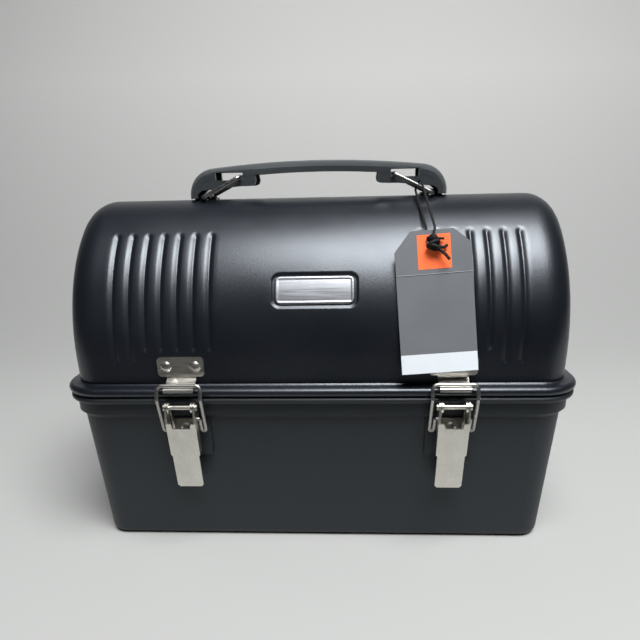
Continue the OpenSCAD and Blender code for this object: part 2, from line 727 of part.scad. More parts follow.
module wire_catch() {
    y = -bottle_bar[0];
    z = bottle_bar[1];
    wall = -wall_y + sheet_t;
    color("#8f8d88") difference() {
        across_x(12) difference() {
            union() {
                translate([y, z]) circle(r = bottle_r + 1.4);
                translate([wall, z + 1]) square([y - wall, 1.2]);
                translate([wall, z + 1]) square([1.2, 8]);
            }
            translate([y, z]) circle(r = bottle_r + 0.35);
            translate([y - bottle_r - 0.1, z - 5]) square([2 * bottle_r + 0.2, 5]);
        }
    }
}

// Tag ------------------------------------------------------------------------

module on_tag() {
    translate([tag_x, tag_foot[0], tag_foot[1]]) rotate([90 - tag_lean, 0, 0]) rotate([0, 0, tag_spin]) children();
}
tag_hole = [-1.6, tag_h - 6.2];

module hang_tag() {
    color("#64666d") on_tag() difference() {
        linear_extrude(tag_t) polygon([[-tag_w / 2, 0], [tag_w / 2, 0], [tag_w / 2, tag_h - 9],
            [tag_w / 2 - 10, tag_h], [-tag_w / 2 + 10, tag_h], [-tag_w / 2, tag_h - 12]]);
        translate([tag_hole[0], tag_hole[1], -1]) cylinder(h = 3, r = 2.4);
    }
}

module tag_eyelet() {
    color("#3a3b3f") on_tag() translate([tag_hole[0], tag_hole[1], 0]) difference() {
        cylinder(h = tag_t, r = 2.4);
        translate([0, 0, -1]) cylinder(h = 3, r = 1.9);
    }
}

// The loop starts in the hole, goes round the link's front wire and ends in the knot.
hole_up = tag_hole[0] * sin(tag_spin) + tag_hole[1] * cos(tag_spin);
hole_at = [tag_x + tag_hole[0] * cos(tag_spin) - tag_hole[1] * sin(tag_spin),
    tag_foot[0] + hole_up * sin(tag_lean), tag_foot[1] + hole_up * cos(tag_lean)];
hang_x = foot[0] - 10.2;
hang_at = [hang_x, -link_y, foot[1] + (foot[0] - hang_x) * tan(link_a)];
link_dir = [-cos(link_a), 0, sin(link_a)];
cord_half = cord_bend + 0.05;
cord_dir = unit(hole_at - hang_at + cord_half * unit(cross(link_dir, unit(hole_at - hang_at))));
cord_side = unit(cross(link_dir, cord_dir));
cord_top = hang_at + cord_dir * (cord_bend - link_r - cord_d / 2 - cord_gap);
cord_run = fine((hole_at - cord_top) * cord_dir);
cord_o = hole_at - cord_dir * cord_run + cord_side * cord_half;

module on_cord() {
    frame(cord_o, cord_side, cord_dir) children();
}

module cord_line(r) {
    wire([[-cord_half, cord_run, 0], [-cord_half, -cord_bend, 0], [cord_half, -cord_bend, 0],
        [cord_half, cord_run - 3.3, 0]], [0, cord_bend, cord_bend, 0], r);
    rod([cord_half + 0.12, cord_run - 3.66, 0], [cord_half - 3, cord_run + 0.5, 0], r);
}

module tag_cord() { color("#141416") on_cord() cord_line(cord_d / 2); }

// A place on the tag's face, from the knot: x to the right, y up the tag and z outward.
knot_at = cord_o + cord_dir * (cord_run + 2.4);
function from_knot(x, y, z) = knot_at + x * [cos(tag_spin), sin(tag_spin) * sin(tag_lean), sin(tag_spin) * cos(tag_lean)]
    + y * [-sin(tag_spin), cos(tag_spin) * sin(tag_lean), cos(tag_spin) * cos(tag_lean)] + z * [0, -cos(tag_lean), sin(tag_lean)];

module tag_knot() {
    color("#141416") difference() {
        union() {
            on_cord() translate([0, cord_run + 2.4, 0]) {
                sphere(r = 2.6);
                rotate([0, 25, 0]) rotate_extrude() translate([1.9, 0]) circle(r = 1);
                rotate([70, 0, 35]) rotate_extrude() translate([1.9, 0]) circle(r = 1);
            }
            rod(knot_at, from_knot(4.6, -6.2, -0.9), cord_d / 2);
            rod(knot_at, from_knot(6.4, -0.6, -0.7), cord_d / 2);
        }
        on_cord() cord_line(cord_d / 2 + 0.02);
    }
}

module at_latch(s) { translate([s * latch_x, 0, 0]) children(); }

body_shell();
at_latch(-1) latch_base();  // latch_base_left
at_latch(1) latch_base();  // latch_base_right
latch_base_rivets();
at_latch(-1) latch_pin();  // latch_pin_left
at_latch(1) latch_pin();  // latch_pin_right
at_latch(-1) hinge_body_leaf();  // hinge_body_leaf_left
at_latch(1) hinge_body_leaf();  // hinge_body_leaf_right
at_latch(-1) hinge_rod();  // hinge_pin_left
at_latch(1) hinge_rod();  // hinge_pin_right
hinge_body_rivets();
lid_shell();
name_plate();
at_latch(-1) strike_plate();  // strike_plate_left
at_latch(1) strike_plate();  // strike_plate_right
strike_rivets();
at_latch(-1) hinge_lid_leaf();  // hinge_lid_leaf_left
at_latch(1) hinge_lid_leaf();  // hinge_lid_leaf_right
hinge_lid_rivets();
mirror([1, 0, 0]) handle_bracket();  // handle_bracket_left
handle_bracket();  // handle_bracket_right
bracket_rivets();
translate([clip_x[0], 0, 0]) wire_clip();  // wire_clip_left
translate([clip_x[1], 0, 0]) wire_clip();  // wire_clip_right
wire_catch();
clip_rivets();
at_latch(-1) lever();  // lever_left
at_latch(1) lever();  // lever_right
at_latch(-1) bail();  // bail_left
at_latch(1) bail();  // bail_right
handle_grip();
mirror([1, 0, 0]) link();  // link_left
link();  // link_right
bottle_wire();
hang_tag();
tag_eyelet();
tag_cord();
tag_knot();
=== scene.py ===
# %% [markdown]
# A steel lunch box with a domed lid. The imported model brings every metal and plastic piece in
# its right place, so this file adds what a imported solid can't carry: the finishes, the thin
# pressed sheet of the lid, the colours of the tag, its limp cord and the light that shows them.

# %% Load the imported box
import math
import bpy
import bmesh
from mathutils import Matrix, Vector
from mathutils.geometry import tessellate_polygon


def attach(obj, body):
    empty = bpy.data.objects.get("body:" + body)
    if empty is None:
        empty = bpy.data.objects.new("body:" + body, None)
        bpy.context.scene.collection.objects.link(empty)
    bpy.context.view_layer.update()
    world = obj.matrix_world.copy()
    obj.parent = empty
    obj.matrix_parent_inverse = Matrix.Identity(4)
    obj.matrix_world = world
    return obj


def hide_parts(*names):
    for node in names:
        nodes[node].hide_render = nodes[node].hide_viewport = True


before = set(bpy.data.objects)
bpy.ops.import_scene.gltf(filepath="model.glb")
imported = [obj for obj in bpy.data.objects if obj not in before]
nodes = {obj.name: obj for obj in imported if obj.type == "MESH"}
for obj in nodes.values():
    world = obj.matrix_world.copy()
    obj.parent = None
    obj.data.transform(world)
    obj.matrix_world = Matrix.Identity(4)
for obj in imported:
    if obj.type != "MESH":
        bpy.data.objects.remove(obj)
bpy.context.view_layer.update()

# %% [markdown]
# The camera stands a little above the lid and looks down on it. Its direction is built from
# three turns: yaw, pitch and roll. The lens comes from the distance at which one pixel is one
# unit wide, for a picture 640 pixels across.

# %% Camera
PIXELS = 640
SENSOR_MM = 36
lens_px = 537.69
eye = Vector((0.01840, -0.39345, 0.23926))
yaw, pitch, roll = 0.0535, 0.3392, -0.0232
centre_px = (317.77, 371.38)

right = Vector((math.cos(yaw), math.sin(yaw), 0))
ahead = Vector((-math.sin(yaw), math.cos(yaw), 0))
up = Vector((0, 0, 1))
look = ahead * math.cos(pitch) - up * math.sin(pitch)
above = up * math.cos(pitch) + ahead * math.sin(pitch)
cam_x = right * math.cos(roll) + above * math.sin(roll)
cam_y = above * math.cos(roll) - right * math.sin(roll)

cam_data = bpy.data.cameras.new("camera")
cam_data.sensor_width = SENSOR_MM
cam_data.lens = lens_px * SENSOR_MM / PIXELS
cam_data.shift_x = (PIXELS / 2 - centre_px[0]) / PIXELS
cam_data.shift_y = (centre_px[1] - PIXELS / 2) / PIXELS
cam_data.clip_start = 0.01
camera = bpy.data.objects.new("camera", cam_data)
camera.matrix_world = Matrix((
    (cam_x.x, cam_y.x, -look.x, eye.x),
    (cam_x.y, cam_y.y, -look.y, eye.y),
    (cam_x.z, cam_y.z, -look.z, eye.z),
    (0, 0, 0, 1)))
bpy.context.scene.collection.objects.link(camera)
bpy.context.scene.camera = camera
print("lens:", round(cam_data.lens, 2), "mm")

# %% [markdown]
# The tag hangs on a thin limp cord: a loop that leaves the tag's hole, goes round the link
# and comes back to a knot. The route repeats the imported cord's, so it lies where that one is.
# A tube mesh would do too, but a curve with a round bevel needs only the route and a thickness.

# %% Cord of the tag
CORD_ROUTE = [
    (0.06959, -0.05988, 0.20436), (0.06914, -0.05418, 0.20780), (0.06868, -0.04848, 0.21123),
    (0.06823, -0.04279, 0.21466), (0.06777, -0.03709, 0.21810), (0.06732, -0.03140, 0.22153),
    (0.06687, -0.02570, 0.22497), (0.06641, -0.02001, 0.22840), (0.06596, -0.01431, 0.23184),
    (0.06597, -0.01320, 0.23282), (0.06621, -0.01253, 0.23412), (0.06665, -0.01239, 0.23555),
    (0.06720, -0.01281, 0.23688), (0.06780, -0.01372, 0.23791), (0.06835, -0.01499, 0.23849),
    (0.06876, -0.01642, 0.23852), (0.06897, -0.01779, 0.23801), (0.06939, -0.02303, 0.23485),
    (0.06981, -0.02826, 0.23169), (0.07022, -0.03350, 0.22854), (0.07064, -0.03874, 0.22538),
    (0.07106, -0.04397, 0.22222), (0.07148, -0.04921, 0.21906), (0.07190, -0.05445, 0.21591),
    (0.07231, -0.05968, 0.21275), (0.07221, -0.06065, 0.21163), (0.07195, -0.06136, 0.21023),
    (0.07168, -0.06197, 0.20889), (0.07147, -0.06243, 0.20787)]
CORD_D = 0.0015

def cord_curve(name, route, radius):
    """A round cord along a route, as one open curve."""
    data = bpy.data.curves.new(name, "CURVE")
    data.dimensions = "3D"
    data.bevel_depth = 1.0  # the radius is carried by the points
    data.bevel_resolution = 4
    data.use_fill_caps = True
    line = data.splines.new("POLY")
    line.points.add(len(route) - 1)
    for point, place in zip(line.points, route):
        point.co = (*place, 1)
        point.radius = radius
    obj = bpy.data.objects.new(name, data)
    bpy.context.scene.collection.objects.link(obj)
    return obj

cord = cord_curve("tag_loop", CORD_ROUTE, CORD_D / 2)

# %% [markdown]
# The loop is closed by a knot in front of the tag's hole. A real knot could be followed strand
# by strand, but it is too small for that to be seen, so three leaning turns and two free tails
# stand for it, a little thicker than the cord because a tied cord bulges.

# %% Knot
KNOT = Vector((0.0712, -0.0648, 0.2030))
KNOT_DOWN = Vector((0.06, -0.62, -0.78)).normalized()
KNOT_ACROSS = Vector((1, 0.04, 0.02)).normalized()
TURN_STEPS = 20
TURN_PLUMP, TAIL_PLUMP = 1.5, 1.3  # thickness, as a multiple of the cord's
LONG_TAIL = ((0.4, 1.0, 0.6), (2.6, 2.6, 1.0), (5.0, 4.8, 1.0), (7.0, 7.6, 0.8), (8.2, 10.4, 0.4))
SHORT_TAIL = ((0.6, 0.2, 0.8), (3.4, 1.4, 1.2), (6.2, 1.9, 1.3), (8.4, 0.4, 1.1))

def knot_point(a, b, c):
    """A place near the knot: a across, b down the strand and c outward, in mm."""
    out = KNOT_ACROSS.cross(KNOT_DOWN)
    return tuple(KNOT + (KNOT_ACROSS * a + KNOT_DOWN * b + out * c) * 0.001)

def knot_turn(radius_a, radius_b, lean, shift):
    """One round turn of cord, leaning across the knot."""
    ring = []
    for k in range(TURN_STEPS + 1):
        t = 2 * math.pi * k / TURN_STEPS
        ring.append(knot_point(radius_a * math.cos(t), shift + lean * math.cos(t), radius_b * math.sin(t)))
    return ring

knot_runs = {
    "knot_turn_high": knot_turn(2.7, 2.1, 1.3, -2.5),
    "knot_turn_mid": knot_turn(3.3, 2.4, -1.3, -0.1),
    "knot_turn_low": knot_turn(2.5, 1.9, 1.0, 2.3),
    "knot_tail_long": [knot_point(*place) for place in LONG_TAIL],
    "knot_tail_short": [knot_point(*place) for place in SHORT_TAIL],
}
knot_pieces = []
for name, route in knot_runs.items():
    plump = TURN_PLUMP if "turn" in name else TAIL_PLUMP
    piece = cord_curve(name, route, CORD_D / 2 * plump)
    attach(piece, "tag")
    knot_pieces.append(piece)
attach(cord, "tag")
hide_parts("tag_cord")
print("knot:", len(knot_pieces), "runs of cord")

# %% [markdown]
# Real finishes are never one flat value. Two shader groups hold the small changes that several
# finishes share: the grain of paint, plastic and card, and the streaks of rolled or drawn metal.
# Both turn a noise into a gloss that wanders between two values, so that step is written once.

# %% Sockets, links and the range of gloss
NOISE_LOW, NOISE_HIGH = 0.3, 0.7  # the part of a noise's range that is used

def add_socket(group, name, kind, out=False, default=None):
    socket = group.interface.new_socket(name, in_out="OUTPUT" if out else "INPUT", socket_type=kind)
    if default is not None:
        socket.default_value = default
    return socket

def link(tree, a, b):
    tree.links.new(a, b)

def gloss_range(tree, given, factor):
    """A roughness between the group's two gloss values, led by a noise factor."""
    gloss = tree.nodes.new("ShaderNodeMapRange")
    gloss.inputs["From Min"].default_value = NOISE_LOW
    gloss.inputs["From Max"].default_value = NOISE_HIGH
    link(tree, factor, gloss.inputs["Value"])
    link(tree, given.outputs["Gloss low"], gloss.inputs["To Min"])
    link(tree, given.outputs["Gloss high"], gloss.inputs["To Max"])
    return gloss.outputs["Result"]

print("noise range used:", NOISE_LOW, "to", NOISE_HIGH)

# %% Grain of paint, plastic and card
def grain_group():
    """Fine orange-peel grain of paint, with a broad unevenness of gloss."""
    g = bpy.data.node_groups.new("paint_grain", "ShaderNodeTree")
    add_socket(g, "Grain size", "NodeSocketFloat", default=1400.0)
    add_socket(g, "Patch size", "NodeSocketFloat", default=14.0)
    add_socket(g, "Gloss low", "NodeSocketFloat", default=0.3)
    add_socket(g, "Gloss high", "NodeSocketFloat", default=0.45)
    add_socket(g, "Height", "NodeSocketFloat", out=True)
    add_socket(g, "Roughness", "NodeSocketFloat", out=True)
    add_socket(g, "Patch", "NodeSocketFloat", out=True)
    n = g.nodes
    gi, go = n.new("NodeGroupInput"), n.new("NodeGroupOutput")
    place = n.new("ShaderNodeTexCoord")
    fine = n.new("ShaderNodeTexNoise")
    fine.inputs["Detail"].default_value = 2
    broad = n.new("ShaderNodeTexNoise")
    broad.inputs["Detail"].default_value = 4
    link(g, place.outputs["Object"], fine.inputs["Vector"])
    link(g, place.outputs["Object"], broad.inputs["Vector"])
    link(g, gi.outputs["Grain size"], fine.inputs["Scale"])
    link(g, gi.outputs["Patch size"], broad.inputs["Scale"])
    gloss = gloss_range(g, gi, broad.outputs["Fac"])
    link(g, fine.outputs["Fac"], go.inputs["Height"])
    link(g, gloss, go.inputs["Roughness"])
    link(g, broad.outputs["Fac"], go.inputs["Patch"])
    return g

paint_grain = grain_group()
print("shader group:", paint_grain.name)

# %% Streaks of rolled and drawn metal
def streak_group():
    """Long fine streaks, as rolling or drawing leaves them along one direction."""
    g = bpy.data.node_groups.new("metal_streaks", "ShaderNodeTree")
    add_socket(g, "Along", "NodeSocketVector", default=(60.0, 1200.0, 1200.0))
    add_socket(g, "Gloss low", "NodeSocketFloat", default=0.2)
    add_socket(g, "Gloss high", "NodeSocketFloat", default=0.45)
    add_socket(g, "Height", "NodeSocketFloat", out=True)
    add_socket(g, "Roughness", "NodeSocketFloat", out=True)
    add_socket(g, "Shade", "NodeSocketFloat", out=True)
    n = g.nodes
    gi, go = n.new("NodeGroupInput"), n.new("NodeGroupOutput")
    place = n.new("ShaderNodeTexCoord")
    stretch = n.new("ShaderNodeVectorMath")
    stretch.operation = "MULTIPLY"
    link(g, place.outputs["Object"], stretch.inputs[0])
    link(g, gi.outputs["Along"], stretch.inputs[1])
    streak = n.new("ShaderNodeTexNoise")
    streak.inputs["Scale"].default_value = 1
    streak.inputs["Detail"].default_value = 3
    link(g, stretch.outputs["Vector"], streak.inputs["Vector"])
    cloud = n.new("ShaderNodeTexNoise")
    cloud.inputs["Scale"].default_value = 90
    link(g, place.outputs["Object"], cloud.inputs["Vector"])
    gloss = gloss_range(g, gi, streak.outputs["Fac"])
    link(g, streak.outputs["Fac"], go.inputs["Height"])
    link(g, gloss, go.inputs["Roughness"])
    link(g, cloud.outputs["Fac"], go.inputs["Shade"])
    return g

metal_streaks = streak_group()
print("shader group:", metal_streaks.name)

# %% [markdown]
# Each finish is one material: the group gives the changes over the surface, and the
# Principled shader stays in the material with its plain settings.

# %% One finish
STREAK_BUMP, CARD_BUMP = 0.000006, 0.00001  # heights of the surface's rise, in metres

def finish(name, dark, light, group, inputs, bump, metallic=0.0, spec=0.5, tint=(1.0, 1.0, 1.0)):
    """A material whose colour, gloss and height come from one shared group."""
    m = bpy.data.materials.new(name)
    m.use_nodes = True
    t = m.node_tree
    skin = t.nodes["Principled BSDF"]
    g = t.nodes.new("ShaderNodeGroup")
    g.node_tree = group
    for key, value in inputs.items():
        g.inputs[key].default_value = value
    mix = t.nodes.new("ShaderNodeMix")
    mix.data_type = "RGBA"
    mix.inputs["A"].default_value = (*dark, 1)
    mix.inputs["B"].default_value = (*light, 1)
    link(t, g.outputs["Patch" if "Patch" in g.outputs else "Shade"], mix.inputs["Factor"])
    link(t, mix.outputs["Result"], skin.inputs["Base Color"])
    link(t, g.outputs["Roughness"], skin.inputs["Roughness"])
    rise = t.nodes.new("ShaderNodeBump")
    rise.inputs["Strength"].default_value = 1
    rise.inputs["Distance"].default_value = bump
    link(t, g.outputs["Height"], rise.inputs["Height"])
    link(t, rise.outputs["Normal"], skin.inputs["Normal"])
    skin.inputs["Metallic"].default_value = metallic
    skin.inputs["Specular IOR Level"].default_value = spec
    skin.inputs["Specular Tint"].default_value = (*tint, 1)
    return m

def grained(name, dark, light, grain, bump, **more):
    """Paint, plastic, card or cord: grain is (grain size, patch size, gloss low, gloss high)."""
    values = dict(zip(("Grain size", "Patch size", "Gloss low", "Gloss high"), grain))
    return finish(name, dark, light, paint_grain, values, bump, **more)

def metal(name, dark, light, along, low, high):
    """Bare metal: along is the noise scale on each axis, small on the axis the streaks follow."""
    values = {"Along": along, "Gloss low": low, "Gloss high": high}
    return finish(name, dark, light, metal_streaks, values, STREAK_BUMP, metallic=1.0)

print("height of streaks:", STREAK_BUMP, "m, of card:", CARD_BUMP, "m")

# %% [markdown]
# The lid and the body are powder painted, and the grip is moulded plastic. One black could
# serve all three, but the lid is the glossier and the bluer and the grip is a little paler, so
# each has a finish of its own. Each mixes two near blacks, since a single one looks cut out.

# %% Paint and plastic
LID_GRAIN = (1700.0, 16.0, 0.30, 0.39)
BODY_GRAIN = (1700.0, 16.0, 0.42, 0.55)
GRIP_GRAIN = (900.0, 30.0, 0.28, 0.40)
lid_paint = grained("lid_paint", (0.0030, 0.0040, 0.0065), (0.0055, 0.0068, 0.0100), LID_GRAIN,
                    0.00008, spec=0.68, tint=(0.86, 0.92, 1.0))
body_paint = grained("body_paint", (0.0085, 0.0105, 0.0125), (0.0125, 0.0150, 0.0175), BODY_GRAIN,
                     0.00004, tint=(0.88, 0.95, 1.0))
handle_black = grained("handle_black", (0.026, 0.030, 0.033), (0.038, 0.043, 0.047), GRIP_GRAIN,
                       0.00002, spec=0.8)
print("paints:", lid_paint.name, body_paint.name, handle_black.name)

# %% [markdown]
# The latches, the wire and the plate are bare metal. Rolling leaves streaks along a strip and
# drawing leaves them along a wire, so each metal stretches the same noise its own way.

# %% Metals
latch_metal = metal("latch_metal", (0.56, 0.54, 0.49), (0.76, 0.74, 0.68),
                    (1400.0, 1400.0, 60.0), 0.26, 0.42)
strike_metal = metal("strike_metal", (0.62, 0.60, 0.56), (0.78, 0.76, 0.71),
                     (60.0, 1400.0, 1400.0), 0.24, 0.38)
wire_metal = metal("wire_metal", (0.34, 0.33, 0.31), (0.52, 0.51, 0.49),
                   (80.0, 1200.0, 1200.0), 0.24, 0.40)
plate_metal = metal("plate_metal", (0.31, 0.32, 0.345), (0.375, 0.385, 0.415),
                    (40.0, 1500.0, 1500.0), 0.30, 0.46)
print("metals:", latch_metal.name, strike_metal.name, wire_metal.name, plate_metal.name)

# %% [markdown]
# The tag is matt card in four plain colours, and its cord is a dull black. Both reuse the grain
# of the paint at a finer size, because paper and thread scatter light in the same uneven way.

# %% Card and cord
CARD_GRAIN = (2600.0, 40.0, 0.5, 0.62)
CORD_GRAIN = (3000.0, 60.0, 0.6, 0.8)
tag_grey = grained("tag_grey", (0.098, 0.105, 0.115), (0.122, 0.130, 0.141), CARD_GRAIN, CARD_BUMP)
tag_orange = grained("tag_orange", (0.90, 0.125, 0.025), (0.97, 0.16, 0.035), CARD_GRAIN, CARD_BUMP)
tag_fold = grained("tag_fold", (0.30, 0.32, 0.34), (0.36, 0.38, 0.40), CARD_GRAIN, CARD_BUMP)
tag_white = grained("tag_white", (0.52, 0.56, 0.60), (0.62, 0.66, 0.70), CARD_GRAIN, CARD_BUMP)
cord_black = grained("cord_black", (0.008, 0.008, 0.009), (0.014, 0.014, 0.015), CORD_GRAIN,
                     0.00004, spec=0.2)
print("card and cord:", tag_grey.name, tag_orange.name, tag_fold.name, tag_white.name, cord_black.name)

# %% [markdown]
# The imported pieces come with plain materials, which are cleared here. One table says which
# finish goes on which pieces instead, because that is easier to check than a line for each.

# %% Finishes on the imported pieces
FINISH_OF = {
    lid_paint: ["lid_shell", "handle_bracket_left", "handle_bracket_right", "bracket_rivets"],
    body_paint: ["body_shell", "hinge_body_leaf_left", "hinge_body_leaf_right", "hinge_body_rivets",
                 "hinge_lid_leaf_left", "hinge_lid_leaf_right", "hinge_lid_rivets", "clip_rivets"],
    handle_black: ["handle_grip"],
    latch_metal: ["lever_left", "lever_right", "latch_base_left", "latch_base_right",
                  "latch_pin_left", "latch_pin_right", "wire_clip_left", "wire_clip_right", "wire_catch"],
    strike_metal: ["strike_plate_left", "strike_plate_right", "strike_rivets", "latch_base_rivets"],
    wire_metal: ["bail_left", "bail_right", "link_left", "link_right", "bottle_wire",
                 "hinge_pin_left", "hinge_pin_right"],
    plate_metal: ["name_plate"],
    tag_grey: ["hang_tag"],
    cord_black: ["tag_knot", "tag_eyelet", "tag_cord"],
}
for material, names in FINISH_OF.items():
    for name in names:
        data = nodes[name].data
        data.materials.clear()
        data.materials.append(material)
for piece in (cord, *knot_pieces):
    piece.data.materials.append(cord_black)
print("finishes:", len(FINISH_OF), "nodes finished:", sum(len(v) for v in FINISH_OF.values()))

# %% [markdown]
# The lid is one drawn sheet: two flank arcs with a tighter crown between them, ends that turn
# down with a rounded edge, a row of pressed grooves on each side of the front and the back and
# a shallow bed for the plate. Modelling tools would cut those one by one. Here the sheet is
# one grid of points: a profile up the front gives each row its place and its outward
# direction, and pressing a groove only moves points inward, so inside and outside stay
# parallel as they do in real sheet.

# %% Profile of the lid
LID_X, WALL_Y, EDGE_R = 160.0, 75.0, 19.5
LID_LOW, SPRING = 117.5, 134.0
FLANK_Y, FLANK_R, CROWN_Z, CROWN_R = 30.0, 105.0, 174.0, 55.0
BLEND = math.atan2(CROWN_Z - SPRING, FLANK_Y)
FLANK_RUN = FLANK_R * BLEND
CROWN_RUN = CROWN_R * (math.pi / 2 - BLEND)
SHEET = 0.8

def profile(s):
    """(y, z) and outward (y, z) direction, s mm up the front from where the arch starts."""
    if s < 0:
        return -WALL_Y, SPRING + s, -1.0, 0.0
    if s < FLANK_RUN:
        a = s / FLANK_R
        return FLANK_Y - FLANK_R * math.cos(a), SPRING + FLANK_R * math.sin(a), -math.cos(a), math.sin(a)
    a = BLEND + (s - FLANK_RUN) / CROWN_R
    return -CROWN_R * math.cos(a), CROWN_Z + CROWN_R * math.sin(a), -math.cos(a), math.sin(a)

print("run over the lid:", round(2 * (SPRING - LID_LOW + FLANK_RUN + CROWN_RUN)), "mm")

# %% [markdown]
# Grooves stiffen a thin sheet. Each is a straight valley with round ends, deepest along its
# middle line, so its depth needs only the distance from that line. The bed is the same idea
# with a rounded rectangle for an outline and a flat floor.

# %% Pressed grooves and the bed of the plate
GROOVE_X, GROOVE_PITCH, GROOVES = 66.2, 10.2, 7
GROOVE_W, GROOVE_DEEP, GROOVE_SHARP = 6.8, 1.4, 1.6
GROOVE_TOP, GROOVE_LOW, GROOVE_LOW_OUTER = 85.5, 5.0, -4.0
BED_X, BED_H, BED_R = 27.0, 10.9, 5.0  # half width, half height and corner radius
BED_ANGLE, BED_HIGHER = 23.4, 1.0
BED_S = math.radians(BED_ANGLE) * FLANK_R + BED_HIGHER
BED_DEEP, BED_WALL = 1.0, 0.9

def press(x, s, front):
    """Depth to which the sheet is pressed in at x across and s up, in mm."""
    i = round((abs(x) - GROOVE_X) / GROOVE_PITCH)
    if 0 <= i < GROOVES:
        low = GROOVE_LOW_OUTER if i >= GROOVES - 2 else GROOVE_LOW
        past = max(low + GROOVE_W / 2 - s, s - GROOVE_TOP + GROOVE_W / 2, 0)
        d = math.hypot(abs(x) - GROOVE_X - i * GROOVE_PITCH, past) / (GROOVE_W / 2)
        return GROOVE_DEEP * (1 - d) ** GROOVE_SHARP if d < 1 else 0.0
    if front:
        qx, qs = abs(x) - BED_X + BED_R, abs(s - BED_S) - BED_H + BED_R
        out = math.hypot(max(qx, 0), max(qs, 0)) + min(max(qx, qs), 0) - BED_R
        t = min(max(-out / BED_WALL, 0), 1)
        return BED_DEEP * t * t * (3 - 2 * t)
    return 0.0

print("grooves:", 4 * GROOVES, "each", GROOVE_W, "mm wide and", GROOVE_DEEP, "mm deep")

# %% [markdown]
# The grid's lines stand close where the sheet is pressed and wide where it is smooth. That keeps
# the grooves crisp with few faces. The sheet has two layers, joined along its rim and at its ends.

# %% Stations of the lid's grid
GROOVE_MARKS = (0.08, 0.22, 0.4, 0.6, 0.8, 1.0)  # shares of a groove's half width
BED_INNER, BED_OUTER = 20, 28.4                  # columns stand close between these
EDGE_STEPS = 9

def spread(*runs):
    """Stations along a line: each run is (from, to, step)."""
    marks = []
    for a, b, step in runs:
        n = max(1, round((b - a) / step))
        marks += [a + (b - a) * i / n for i in range(n)]
    return marks + [runs[-1][1]]

def lid_rows():
    """Stations up the front and down the back: (s, side), side -1 in front and 1 behind."""
    up = spread((LID_LOW - SPRING, -6, 3), (-6, 14, 1.25), (14, 30, 3), (30, 56, 0.9), (56, 74, 3),
                (74, 88, 1.25), (88, FLANK_RUN, 3), (FLANK_RUN, FLANK_RUN + CROWN_RUN, 2.5))
    return [(s, -1) for s in up] + [(s, 1) for s in reversed(up[:-1])]

def lid_columns():
    """Stations across: (x, inward offset, angle by which the outward direction turns sideways)."""
    flat = spread((0, BED_INNER, 2.5), (BED_INNER, BED_OUTER, 0.7), (BED_OUTER, 60, 4))
    marks = [-u for u in reversed(GROOVE_MARKS)] + list(GROOVE_MARKS)
    for i in range(GROOVES):
        flat += [GROOVE_X + i * GROOVE_PITCH + u * GROOVE_W / 2 for u in marks]
    flat += spread((flat[-1] + 2, LID_X - EDGE_R, 3))
    half = [(x, 0.0, 0.0) for x in flat]
    for k in range(1, EDGE_STEPS + 1):
        a = math.pi / 2 * k / EDGE_STEPS
        half.append((LID_X - EDGE_R + EDGE_R * math.sin(a), EDGE_R * (1 - math.cos(a)), a))
    return [(-x, d, -a) for x, d, a in reversed(half[1:])] + half

rows, columns = lid_rows(), lid_columns()
wide, high = len(columns), len(rows)
print("lid grid:", wide, "by", high)

# %% Points and faces of the lid sheet
MERGE_GAP = 1e-6

def lid_point(x, inset, turn, s, side, deeper):
    """The place of one grid point, deeper mm in from the outer face."""
    y, z, ny, nz = profile(s)
    deep = deeper + (press(x, s, side < 0) if turn == 0 else 0)
    back = inset + deep * math.cos(turn)
    return (x - deep * math.sin(turn), -side * (y - ny * back), z - nz * back)

def mesh_object(name, verts, faces, material, scale=0.001):
    """A smooth closed mesh from points in mm, or in metres with a scale of 1."""
    data = bpy.data.meshes.new(name)
    data.from_pydata([tuple(scale * c for c in v) for v in verts], [], faces)
    data.validate()
    bm = bmesh.new()
    bm.from_mesh(data)
    bmesh.ops.remove_doubles(bm, verts=bm.verts, dist=MERGE_GAP)
    bmesh.ops.recalc_face_normals(bm, faces=bm.faces)
    for face in bm.faces:
        face.smooth = True
    bm.to_mesh(data)
    bm.free()
    data.materials.append(material)
    obj = bpy.data.objects.new(name, data)
    bpy.context.scene.collection.objects.link(obj)
    return obj

verts = [lid_point(*c, *r, layer * SHEET) for layer in (0, 1) for r in rows for c in columns]
faces = []
for layer in (0, 1):
    base = layer * wide * high
    for j in range(high - 1):
        for i in range(wide - 1):
            a = base + j * wide + i
            faces.append((a, a + 1, a + 1 + wide, a + wide))
    for i in (0, wide - 1):  # end walls, row against mirrored row
        for j in range(high // 2):
            a, b = base + j * wide + i, base + (high - 1 - j) * wide + i
            if a + wide == b - wide:
                faces.append((a, a + wide, b))
            else:
                faces.append((a, a + wide, b - wide, b))
rim = list(range(wide)) + [(high - 1) * wide + i for i in reversed(range(wide))]
step = wide * high
for a, b in zip(rim, rim[1:] + rim[:1]):
    faces.append((a, b, b + step, a + step))
print("lid sheet:", len(faces), "faces")

# %% [markdown]
# The lid's foot is rolled into a round bead that covers the body's rim. Its section is swept
# round the box's plan, a rounded rectangle. It is part of the same sheet, so it joins the same mesh.

# %% Bead round the foot of the lid
BOX_X, BOX_Y, BOX_R = 167.5, 82.5, 27.0

def round_plan(inset, steps=10):
    """Rounded rectangle of the box in plan, moved in by inset."""
    ring = []
    for cx, cy, start in ((1, 1, 0), (-1, 1, 90), (-1, -1, 180), (1, -1, 270)):
        for k in range(steps + 1):
            a = math.radians(start + 90 * k / steps)
            ring.append((cx * (BOX_X - BOX_R) + (BOX_R - inset) * math.cos(a),
                         cy * (BOX_Y - BOX_R) + (BOX_R - inset) * math.sin(a)))
    return ring

